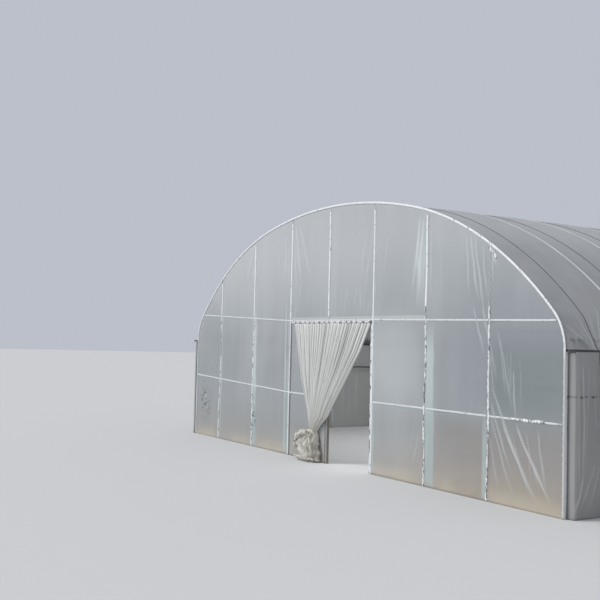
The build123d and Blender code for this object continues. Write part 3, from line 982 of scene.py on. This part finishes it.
def post_tuck(x, low, high, drift=0.0):
    """A line up a post, which wanders sideways a little."""
    steps = 24
    line = []
    for i in range(steps + 1):
        z = low + (high - low) * i / steps
        line.append((x + drift * noise.noise(Vector((x * 3, z * 2.2, 1.5))), tuck_y, z))
    return line


hem_y = tuck_y - 0.016
hem_height = lintel_height - 0.026
hem_line = [(x, hem_y, hem_height) for x in (-0.90, 0.955)]
hem_puckers = Finish("hem_puckers")
pucker_pitch = 0.125
pucker_wave = hem_puckers.axis("X") * (math.tau / pucker_pitch) + hem_puckers.cloud((5, 5, 5)) * 9
# Painted shade: the hem is dark in the gaps between its puckers.
shaded_gaps = pucker_wave.maths("SINE").rise(0.1, 0.8)
hem_body = hem_puckers.mixed(shaded_gaps, (0.66, 0.665, 0.66, 1), (0.20, 0.20, 0.20, 1))
hem_puckers.give(Base_Color=hem_body, Roughness=0.45)
crumple_route = ((2.985, 2.600), (3.020, 2.550), (3.070, 2.500), (3.090, 2.470))
hoop_crumple = [(x, tuck_y, z) for x, z in crumple_route]
last_rail = rail_line(np.linspace(3.29, 3.77, 9), tuck_y, rail_height, rail_lift)


def film_tuck(name, lines, finish, width, depth, crumple, wall=tuck_y, fineness=26.0):
    """Crumpled film along lines, pressed flat to this width and depth where y is wall."""
    sizes = {"Width": width, "Depth": depth, "Crumple": crumple, "Fineness": fineness, "Wall": wall}
    crumpled = line_piece(name, lines, tuck, finish, **sizes)
    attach(crumpled, "root")


front_arch = [arch_line(0.005, tuck_y, tuck_foot)]
back_arch = [arch_line(0.001, back_tuck_y, tuck_foot)]
film_tuck("arch_tuck", front_arch, clean_tuck, 0.026, 0.010, 0.006)
film_tuck("back_arch_tuck", back_arch, clean_tuck, 0.026, 0.010, 0.006, back_tuck_y)
film_tuck("rail_tucks", groove_lines(tuck_y), dull_tuck, 0.022, 0.008, 0.006)
film_tuck("rail_crumple", [last_rail, hoop_crumple], puckered_tuck, 0.030, 0.014, 0.036)
film_tuck("curtain_hem_tuck", [hem_line], hem_puckers, 0.026, 0.018, 0.012, hem_y)
jamb_line = post_tuck(door_post - 0.004, tuck_foot, 3.2, 0.008)
film_tuck("jamb_tucks", [jamb_line], clean_tuck, 0.030, 0.010, 0.008)
upper_lines = [
    post_tuck(left_posts[0], 1.98, 2.47, 0.050),
    post_tuck(left_posts[1], 2.0, 3.00, 0.012),
    post_tuck(left_posts[2], 1.90, 3.22, 0.004),
    post_tuck(0.0, 1.90, 3.28, 0.006),
    post_tuck(right_posts[0], 2.0, 3.02, 0.010),
]
film_tuck("upper_tucks", upper_lines, clean_tuck, 0.036, 0.010, 0.008)
lower_lines = [
    post_tuck(right_posts[0], tuck_foot, 2.0, 0.020),
    post_tuck(right_posts[1], tuck_foot, 1.98, 0.020),
    post_tuck(left_posts[0], tuck_foot, 1.98, 0.050),
    post_tuck(left_posts[1], tuck_foot, 2.00, 0.024),
]
film_tuck("post_tucks", lower_lines, puckered_tuck, 0.026, 0.011, 0.016)
door_edge_line = post_tuck(door_post - 0.028, tuck_foot, 1.80, 0.014)
film_tuck("door_edge_tuck", [door_edge_line], puckered_tuck, 0.020, 0.014, 0.016)
left_door_line = post_tuck(left_posts[2] - 0.003, tuck_foot, 1.90, 0.004)
film_tuck("left_door_post_tuck", [left_door_line], clean_tuck, 0.024, 0.009, 0.004)

# Roof film: one sheet over all the hoops, drawn taut from edge tube to edge tube. The press cords
# pull it down between the hoops, and it creases where it spans from the shoulder to the edge tube.
# At both ends of the tunnel its lower part is drawn in to the hoop's leg.
edge_radius = 0.011
edge_low, edge_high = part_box("edge_tube_right")
edge_centre = ((edge_low.x + edge_high.x) / 2, (edge_low.z + edge_high.z) / 2)
edge_dx = edge_centre[0] - shoulder_centre[0]
edge_dz = edge_centre[1] - shoulder_centre[1]
bend_excess = shoulder_radius + tube_radius - edge_radius
leave_angle = math.atan2(edge_dz, edge_dx) + math.acos(bend_excess / math.hypot(edge_dx, edge_dz))
cord_places = [
    sum(corner.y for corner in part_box(f"press_cord_{number}")) / 2
    for number in range(1, bay_count + 1)
]


def taut_line(gap):
    """Right half of the path of a film or cord that lies gap off the tubes, with its directions."""
    line = []
    for angle in np.linspace(0, leave_angle, 5):
        line.append((*away(edge_centre, edge_radius + gap, angle), angle))
    off_tube = away(edge_centre, edge_radius + gap, leave_angle)
    on_bend = bend_at(leave_angle, tube_radius + gap)
    for share in np.linspace(0, 1, 15)[1:]:
        x = off_tube[0] + share * (on_bend[0] - off_tube[0])
        z = off_tube[1] + share * (on_bend[1] - off_tube[1])
        line.append((x, z, leave_angle))
    for angle in bend_angles(leave_angle, 6, 16, 14)[1:]:
        line.append((*bend_at(angle, tube_radius + gap), angle))
    return line


roof_gap = fit + film_thickness / 2 + 0.0004
half_line = taut_line(roof_gap)
whole_line = half_line + [(-x, z, math.pi - angle) for x, z, angle in reversed(half_line[:-1])]
roof_low, roof_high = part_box("roof_film")
roof_ys = list(np.arange(roof_low.y, roof_high.y, 0.015)) + [roof_high.y]
cord_dip = 0.013
end_reach = 0.05
slack_top = leg_height + shoulder_radius * math.sin(leave_angle)


def dip_at(y):
    """How far the cords pull the film down at y, nothing on the hoops and most under a cord."""
    dip = 0.0
    for number, cord_y in enumerate(cord_places):
        before = front_y + bay_length * number
        after = before + bay_length
        if before < y <= cord_y:
            dip = cord_dip * ((y - before) / (cord_y - before)) ** 1.3
        elif cord_y < y < after:
            dip = cord_dip * ((after - y) / (after - cord_y)) ** 1.3
    return dip


roof_film = Film("roof_film", 0.70, (0.345, 0.35, 0.36, 1), (0.43, 0.435, 0.445, 1))
up = roof_film.axis("Z")
along = roof_film.axis("Y")
# Painted light: the roof film is paler towards the ridge, where it faces the sky.
roof_film.stain(up.rise(2.0, 3.3) * 0.55, (0.60, 0.61, 0.62, 1))
hoop_places = [front_y + bay_length * number for number in range(bay_count + 1)]
on_hoops = clear_over(along, hoop_places[1:], 0.010, 0.007)
broken = roof_film.cloud((3, 60, 3), 2.0).rise(0.30, 0.55)
roof_film.stain(on_hoops * (0.45 + broken * 0.5), (0.86, 0.87, 0.88, 1), 0.2)
smears = roof_film.cloud((3, 14, 9), 3.0)
low_band = 1 - up.rise(1.635, 1.665)
roof_film.stain(low_band * (0.25 + smears.rise(0.35, 0.7) * 0.5), (0.19, 0.195, 0.195, 1), 0.15)
smudge = clear_over(up + smears * 0.03, (1.670,), 0.004, 0.020) * smears.rise(0.45, 0.62)
roof_film.stain(smudge * 0.6, (0.11, 0.11, 0.11, 1), 0.15)
# Painted shade: the roof film is near black at its hem round the edge tube.
hem_shade_edge = 1 - up.rise(1.556, 1.565)
roof_film.stain(hem_shade_edge, (0.030, 0.031, 0.033, 1), 0.25)
roof_film.dress((0.60, 0.61, 0.62, 1), 0.1)
eave_fans = []
draw = random.Random(12)
for cord_y in cord_places:
    for way in (-1, 1):
        for lean in (0.10, 0.22, 0.38):
            reach = draw.uniform(0.30, 0.62)
            start = (cord_y + way * 0.01, 0.0)
            end = (cord_y + way * lean * draw.uniform(0.8, 1.2), reach)
            eave_fans.append((start, end, 0.011, draw.uniform(0.004, 0.008)))
    for _ in range(7):
        y = cord_y + draw.uniform(-0.45, 0.45)
        lean = draw.uniform(-0.16, 0.16)
        start = (y, 0.0)
        end = (y + lean, draw.uniform(0.10, 0.40))
        eave_fans.append((start, end, 0.008, draw.uniform(0.003, 0.006)))
runs = [0.0]
for before, after in zip(half_line[:-1], half_line[1:]):
    runs.append(runs[-1] + math.dist(before[:2], after[:2]))
whole_runs = runs + runs[-2::-1]
grid = np.zeros((len(roof_ys), len(whole_line), 3))
run_grid, y_grid = np.meshgrid(np.asarray(whole_runs), np.asarray(roof_ys))
creased = folds(y_grid, run_grid, eave_fans)
for i, y in enumerate(roof_ys):
    dip = dip_at(y)
    for j, (x, z, angle) in enumerate(whole_line):
        low_down = max(0, 1 - whole_runs[j] / 0.5)
        wrinkle = noise.noise(Vector((y * 9 + z * 4, z * 3, x)))
        held = min(1, whole_runs[j] / 0.06)
        fall = (dip - 0.004 * wrinkle * low_down - 0.5 * creased[i, j]) * held
        if z < slack_top:
            from_end = min(y - roof_low.y, roof_high.y - y)
            drawn_in = max(1 - from_end / end_reach, 0)
            x += drawn_in * (math.copysign(leg_reach(z) + tube_radius + roof_gap, x) - x)
        grid[i, j] = (x - fall * math.cos(angle), y, z - fall * math.sin(angle))
film = film_piece("roof_sheet", grid, {"crease": creased / 0.008}, roof_film)
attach(film, "root")
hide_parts("roof_film")

# Edge tubes: the tube in the hem of the roof film on each side. The hem is doubled and painted near
# black as shade, so that it shows as a dark line.
# Painted shade: the hem round the edge tubes is near black.
hem_shade_finish = Finish("film_hem")
hem_mottle = hem_shade_finish.cloud((25, 5, 25), 4.0)
hem_shade_finish.give(
    Base_Color=hem_shade_finish.mixed(hem_mottle, (0.035, 0.037, 0.04, 1), (0.12, 0.125, 0.13, 1)),
    Roughness=0.45 + hem_mottle * 0.3,
)
redress(hem_shade_finish, "edge_tube_left", "edge_tube_right")

# Side films: a skirt on each side, hung behind the hem from the edge tube to the ground, with
# loose upright folds. Both its ends are drawn in to the legs of the end hoops.
side_film = Film("side_film", 0.72, (0.26, 0.262, 0.265, 1), (0.37, 0.37, 0.37, 1))
side_z = side_film.axis("Z")
muddy = (1 - side_z.rise(0.0, 0.5)) * side_film.streaks.rise(0.3, 0.6)
side_film.stain(muddy * 0.3, (0.33, 0.32, 0.30, 1))
ripple = side_film.cloud((2, 16, 2), 4.0)
# Painted shade: a broken dark line where the shaded middle channel shows through the film.
band = clear_over(side_z + ripple * 0.05, (1.149,), 0.002, 0.012)
side_film.stain(band * ripple.rise(0.36, 0.6), (0.035, 0.035, 0.035, 1), 0.2)
# Painted light: the left skirt is lighter, as seen lit from inside; the right skirt keeps its darker
# grey, partly painted shade.
left_side_light = 1 - side_film.axis("X").rise(-1, 1)
side_film.stain(left_side_light * 0.7, (0.44, 0.445, 0.44, 1))
# Painted shade and light at the skirt's front end: a dark line by the leg, then pale strips where the
# film is lit from behind.
corner = mark(side_film, "corner")
# Each mark at the corner has its way round from the leg, its half width, softness, share and colour
for place, half_width, soft, share, colour in (
    (0.002, 0.008, 0.012, 0.55, (0.12, 0.12, 0.12, 1)),
    (0.055, 0.018, 0.014, 0.30, (0.46, 0.46, 0.455, 1)),
    (0.092, 0.008, 0.010, 0.35, (0.46, 0.46, 0.455, 1)),
):
    side_film.stain(clear_over(corner, (place,), half_width, soft) * share, colour, 0.1)
side_film.dress((0.56, 0.565, 0.56, 1), 0.12)
side_rows = 70
side_end = 0.006
turn_in = 0.016
beside_turn = turn_in + 0.002
side_fans = [
    ((0.055, 1.50), (0.065, 0.05), 0.010, 0.010),
    ((0.110, 1.50), (0.120, 0.20), 0.013, 0.010),
    ((0.175, 1.45), (0.150, 0.30), 0.010, 0.006),
    ((0.130, 0.42), (0.010, 0.02), 0.012, 0.014),
    ((0.300, 0.55), (0.060, 0.02), 0.012, 0.008),
    ((0.420, 0.70), (0.180, 0.02), 0.012, 0.007),
    ((0.260, 1.40), (0.290, 0.60), 0.012, 0.005),
]
draw = random.Random(31)
for _ in range(60):
    y = draw.uniform(0.45, 5.4)
    top = draw.uniform(0.7, 1.5)
    lean = draw.uniform(-0.05, 0.05)
    width, height = draw.uniform(0.010, 0.022), draw.uniform(0.003, 0.008)
    side_fans.append(((y, top), (y + lean, 0.03), width, height))
for side, side_name, step in ((-1, "left", 0.024), (1, "right", 0.015)):
    node = f"side_film_{side_name}"
    low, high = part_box(node)
    flat_x = (low.x + high.x) / 2
    leg_x = half_span + tube_radius + 0.001
    gap = abs(flat_x) - leg_x
    front_end = front_y + side_end if side > 0 else low.y - side_end
    rear_end = rear_y - side_end
    end_steps = turn_in * np.array([0.0, 0.12, 0.25, 0.40, 0.55, 0.70, 0.85])
    middle_ys = np.arange(front_end + beside_turn, rear_end - beside_turn, step)
    ys = np.concatenate([front_end + end_steps, middle_ys, (rear_end - end_steps)[::-1]])
    zs = np.linspace(low.z + 0.001, high.z, side_rows)
    y_grid, z_grid = np.meshgrid(ys, zs)
    fold_lift = folds(y_grid - front_end, z_grid, side_fans)
    grid = np.zeros((side_rows, len(ys), 3))
    corner_marks = np.zeros((side_rows, len(ys)))
    for i, z in enumerate(zs):
        loose = min(1, (high.z - z) / 0.4)
        for j, y in enumerate(ys):
            sway = noise.noise(Vector((y * 3.0, z * 0.7, 3.0 * side)))
            stand = loose * (0.008 * (sway + 0.6) + fold_lift[i, j])
            from_front = y - front_end
            share = min(from_front / turn_in, (rear_end - y) / turn_in, 1)
            reach = leg_x + share * (gap + max(stand, 0))
            grid[i, j] = (side * reach, y, z)
            corner_marks[i, j] = min(from_front / turn_in, 1) * gap + max(from_front - beside_turn, 0)
    marks = {"crease": fold_lift / 0.011, "corner": corner_marks}
    skirt = film_piece(f"side_skirt_{side_name}", grid, marks, side_film)
    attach(skirt, "root")
    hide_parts(node)

# Press cords: one dark plastic cord in each bay, pulled tight over the roof film and round the
# edge tubes, and tied to a stake in the ground on each side.
cord_finish = Finish("press_cord")
fibre = cord_finish.cloud((40, 40, 40))
cord_finish.give(
    Base_Color=cord_finish.mixed(fibre, (0.045, 0.047, 0.05, 1), (0.12, 0.12, 0.125, 1)),
    Roughness=0.6,
)
cord_radius = 0.0025
cord_gap = roof_gap + film_thickness / 2 + cord_radius
cord_low, cord_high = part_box("press_cord_1")
tie_z = cord_low.z
cord_half = [(cord_high.x - cord_radius, tie_z)]
for x, z, angle in taut_line(cord_gap):
    fall = cord_dip * min(1, abs(z - edge_centre[1]) / 0.05)
    cord_half.append((x - fall * math.cos(angle), z - fall * math.sin(angle)))
cord_whole = cord_half + [(-x, z) for x, z in reversed(cord_half[:-1])]
cord_line = [(x, cord_places[0], z) for x, z in cord_whole]
cords = tubes("press_cords", [cord_line], cord_finish, cord_radius, 7, bay_count)
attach(cords, "root")
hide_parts(*[f"press_cord_{number}" for number in range(1, bay_count + 1)])
stake_radius = 0.007
around = stake_radius + cord_radius
wrap_steps = 12
wrap_pitch = 0.0053
wrap_drop = 0.004
stake_low, stake_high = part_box("stakes_right")
stake_x = (stake_low.x + stake_high.x) / 2
for side, side_name in ((-1, "left"), (1, "right")):
    wraps = []
    for i in range(3 * wrap_steps + 1):
        turn = math.tau * i / wrap_steps
        x = side * stake_x - side * around * math.cos(turn)
        z = tie_z - wrap_drop - wrap_pitch * i / wrap_steps
        wraps.append((x, cord_places[0] + around * math.sin(turn), z))
    knots = tubes(f"cord_knots_{side_name}", [wraps], cord_finish, cord_radius, 6, bay_count)
    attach(knots, "root")

# Stakes: short bars of rusty steel driven into the ground outside the edge tubes, one at each end
# of every cord, which is wound round it three times.
stake_finish = Finish("stake")
rust = stake_finish.cloud((50, 50, 30), 5.0)
stake_finish.give(
    Base_Color=stake_finish.mixed(rust.rise(0.4, 0.65), (0.30, 0.29, 0.28, 1), (0.24, 0.13, 0.07, 1)),
    Metallic=0.3,
    Roughness=0.55 + rust * 0.3,
)
redress(stake_finish, "stakes_left", "stakes_right")

# Door curtain: a loose width of film hung from the lintel, gathered into fine pleats and pulled
# aside to a knot low down. Below the knot it hangs in a crumpled bundle, with an ear and tails.
curtain_film = Finish("curtain_film")
worn = curtain_film.cloud((5, 5, 2.5), 4.0)
thread = curtain_film.cloud((90, 90, 5), 2.0)
pleat_light = mark(curtain_film, "crease")
pale = curtain_film.mixed(worn, (0.69, 0.695, 0.675, 1), (0.84, 0.84, 0.81, 1))
# Painted shade: the curtain is darker in its pleats' valleys and paler on their ridges, by the crease
# mark.
body = curtain_film.mixed(pleat_light.rise(0.0, 0.55), (0.36, 0.36, 0.35, 1), pale)
trailed = 1 - curtain_film.axis("Z").rise(0.25, 0.75)
body = curtain_film.mixed(trailed * 0.75, body, (0.70, 0.68, 0.60, 1))
shaded = curtain_film.axis("X").rise(-0.27, -0.15) * (1 - curtain_film.axis("Z").rise(0.30, 0.42))
body = curtain_film.mixed(shaded * 0.6, body, (0.40, 0.37, 0.33, 1))
thread_share = thread.rise(0.55, 0.75) * 0.35
curtain_film.give(
    Base_Color=curtain_film.mixed(thread_share, body, (0.42, 0.425, 0.42, 1)),
    Roughness=0.42,
    Alpha=0.86 + pleat_light * 0.12,
)
curtain_back = front_y - film_face - film_thickness - 0.012
pleat_count = 34
pleat_steps = 9
curtain_stations = (
    # height, left edge, right edge, pleat depth, bulge, crumple
    (1.850, -0.880, 0.955, 0.006, 0.000, 0.000),
    (1.790, -0.835, 0.945, 0.016, 0.002, 0.000),
    (1.670, -0.790, 0.872, 0.022, 0.006, 0.000),
    (1.450, -0.722, 0.735, 0.028, 0.015, 0.000),
    (1.120, -0.610, 0.482, 0.032, 0.030, 0.000),
    (0.820, -0.478, 0.225, 0.034, 0.045, 0.000),
    (0.600, -0.375, 0.050, 0.034, 0.055, 0.002),
    (0.470, -0.330, -0.110, 0.032, 0.055, 0.004),
    (0.400, -0.325, -0.185, 0.026, 0.050, 0.006),
    (0.360, -0.420, -0.165, 0.030, 0.055, 0.016),
    (0.300, -0.545, -0.135, 0.034, 0.070, 0.030),
    (0.220, -0.600, -0.115, 0.036, 0.085, 0.042),
    (0.130, -0.520, -0.105, 0.036, 0.095, 0.042),
    (0.050, -0.450, -0.100, 0.036, 0.100, 0.036),
    (0.014, -0.520, -0.080, 0.036, 0.110, 0.026),
)
rows_between = 8
station_heights, *station_shapes = zip(*curtain_stations)
last_station = len(station_heights) - 1
heights = np.interp(
    np.linspace(0, last_station, rows_between * last_station + 1),
    np.arange(last_station + 1),
    station_heights,
)
falling = [-height for height in station_heights]
column_count = pleat_count * pleat_steps + 1
grid = np.zeros((len(heights), column_count, 3))
crease = np.zeros((len(heights), column_count))
draw = random.Random(41)
pleat_weights = [draw.uniform(0.55, 1.5) for _ in range(pleat_count)]
pleat_edges = np.cumsum([0, *pleat_weights]) / sum(pleat_weights)
pleat_shades = [draw.uniform(0.45, 1.1) for _ in range(pleat_count + 1)]
for i, z in enumerate(heights):
    left, right, depth, bulge, crumple = (
        float(np.interp(-z, falling, values)) for values in station_shapes
    )
    middle, width = (left + right) / 2, right - left
    for j in range(column_count):
        pleat, step = divmod(j, pleat_steps)
        share = step / pleat_steps
        across = pleat_edges[min(pleat, pleat_count)]
        if pleat < pleat_count:
            across += share * (pleat_edges[pleat + 1] - pleat_edges[pleat])
        spread = 2 * across - 1
        wave = (0.5 - 0.5 * math.cos(math.tau * share)) ** 0.45
        drift = noise.noise(Vector((pleat * 0.7, z * 1.5, 2.0)))
        stand = depth * wave * (0.75 + 0.5 * drift)
        stand += bulge * math.sqrt(max(0, 1 - spread**2))
        stand += crumple * (noise.noise(Vector((spread * 4, z * 11, 7.0))) + 0.35)
        x = middle + width / 2 * spread + 0.008 * noise.noise(Vector((across * 9, z * 3, 4.0)))
        x += crumple * 1.2 * noise.noise(Vector((spread * 3, z * 13, 17.0)))
        z_here = z + crumple * 0.5 * noise.noise(Vector((spread * 5, z * 9, 27.0)))
        grid[i, j] = (x, curtain_back - max(stand, 0), max(z_here, 0.004))
        # The curtain's crease mark is painted shade: low in the pleats' valleys, high on their ridges.
        crease[i, j] = wave * pleat_shades[pleat] * (0.9 + 0.5 * drift) + crumple * 6
curtain_thickness = 0.0015
curtain = film_piece("curtain", grid, {"crease": crease}, curtain_film, curtain_thickness)
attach(curtain, "root")
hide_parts("door_curtain")
bunched = Finish("bunched_film")
creases = bunched.cloud((38, 38, 22), 4.0, 0.65)
lit = creases.rise(0.36, 0.6)
bunched.give(
    Base_Color=bunched.mixed(lit, (0.30, 0.285, 0.25, 1), (0.74, 0.71, 0.625, 1)),
    Roughness=0.4,
)
bunched.bump(creases, 0.008, 0.8)
knot_x = -0.262
knot_y = curtain_back - 0.05
knot_z = 0.375
turn_steps = 14
band = []
for i in range(22):
    turn = math.tau * i / turn_steps
    lean = 0.018 * math.sin(turn) + 0.008 * i / turn_steps
    band.append((knot_x + 0.062 * math.cos(turn), knot_y - 0.036 * math.sin(turn), knot_z + lean))
# Each route is given from the knot, to its side and outwards, with the height above the ground
ear_route = (
    (-0.05, 0.03, 0.372),
    (-0.14, 0.05, 0.372),
    (-0.24, 0.05, 0.340),
    (-0.31, 0.04, 0.280),
    (-0.34, 0.03, 0.215),
    (-0.32, 0.03, 0.160),
)
tail_route = ((0.0, 0.05, 0.35), (0.06, 0.075, 0.29), (0.10, 0.085, 0.22), (0.12, 0.09, 0.16))
trail_route = (
    (-0.32, 0.060, 0.040),
    (-0.22, 0.085, 0.046),
    (-0.12, 0.080, 0.040),
    (-0.02, 0.095, 0.042),
    (0.08, 0.080, 0.040),
    (0.15, 0.060, 0.040),
)
film_tuck("knot_band", [band], bunched, 0.034, 0.034, 0.040, knot_y, 17.0)
for name, route, width, crumple in (
    ("knot_ear", ear_route, 0.070, 0.120),
    ("curtain_tail", tail_route, 0.020, 0.022),
    ("curtain_trail", trail_route, 0.040, 0.062),
):
    line = [(knot_x + across, knot_y - out, z) for across, out, z in route]
    film_tuck(name, [line], bunched, width, width, crumple, knot_y, 17.0)

# Film tie: a short strip of film, twisted and knotted round the doorway's right post at shoulder
# height. It holds the film's edge there.
tie_height = 1.545
tie_x = door_post - 0.020
tie_ring = []
for i in range(22):
    turn = math.tau * i / turn_steps
    x = tie_x + 0.014 * math.cos(turn)
    tie_ring.append((x, tuck_y - 0.004, tie_height + 0.020 * math.sin(turn)))
film_tuck("film_ties", [tie_ring], clean_tuck, 0.022, 0.016, 0.014, fineness=40.0)

# Clamps: short bent straps of galvanised steel. They go round the purlins under the inner hoops, and
# round the door gable's rails at all its posts apart from the doorway's.
strap = 0.0025
clamp_radius = purlin_radius + strap
clamp_half = 0.016
clamp_rows = []
for node in ("ridge_purlin", "haunch_purlin_left", "haunch_purlin_right"):
    low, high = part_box(node)
    middle = (low + high) / 2
    ends = [(middle.x, front_y - clamp_half, middle.z), (middle.x, front_y + clamp_half, middle.z)]
    clamp_rows.append([(x, y + bay_length, z) for x, y, z in ends])
purlin_clamps = tubes("purlin_clamps", clamp_rows, galvanised, clamp_radius, 12, bay_count - 1)
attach(purlin_clamps, "root")
rail_clamp_lines = []
for x in (*left_posts, *right_posts):
    for height, lift in ((lintel_height, lintel_lift), (rail_height, rail_lift)):
        ends = (x - clamp_half, x + clamp_half)
        rail_clamp_lines.append([(end, front_rail_y, height + lift(end)) for end in ends])
rail_clamps = tubes("rail_clamps", rail_clamp_lines, galvanised, rail_radius + strap, 12)
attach(rail_clamps, "root")
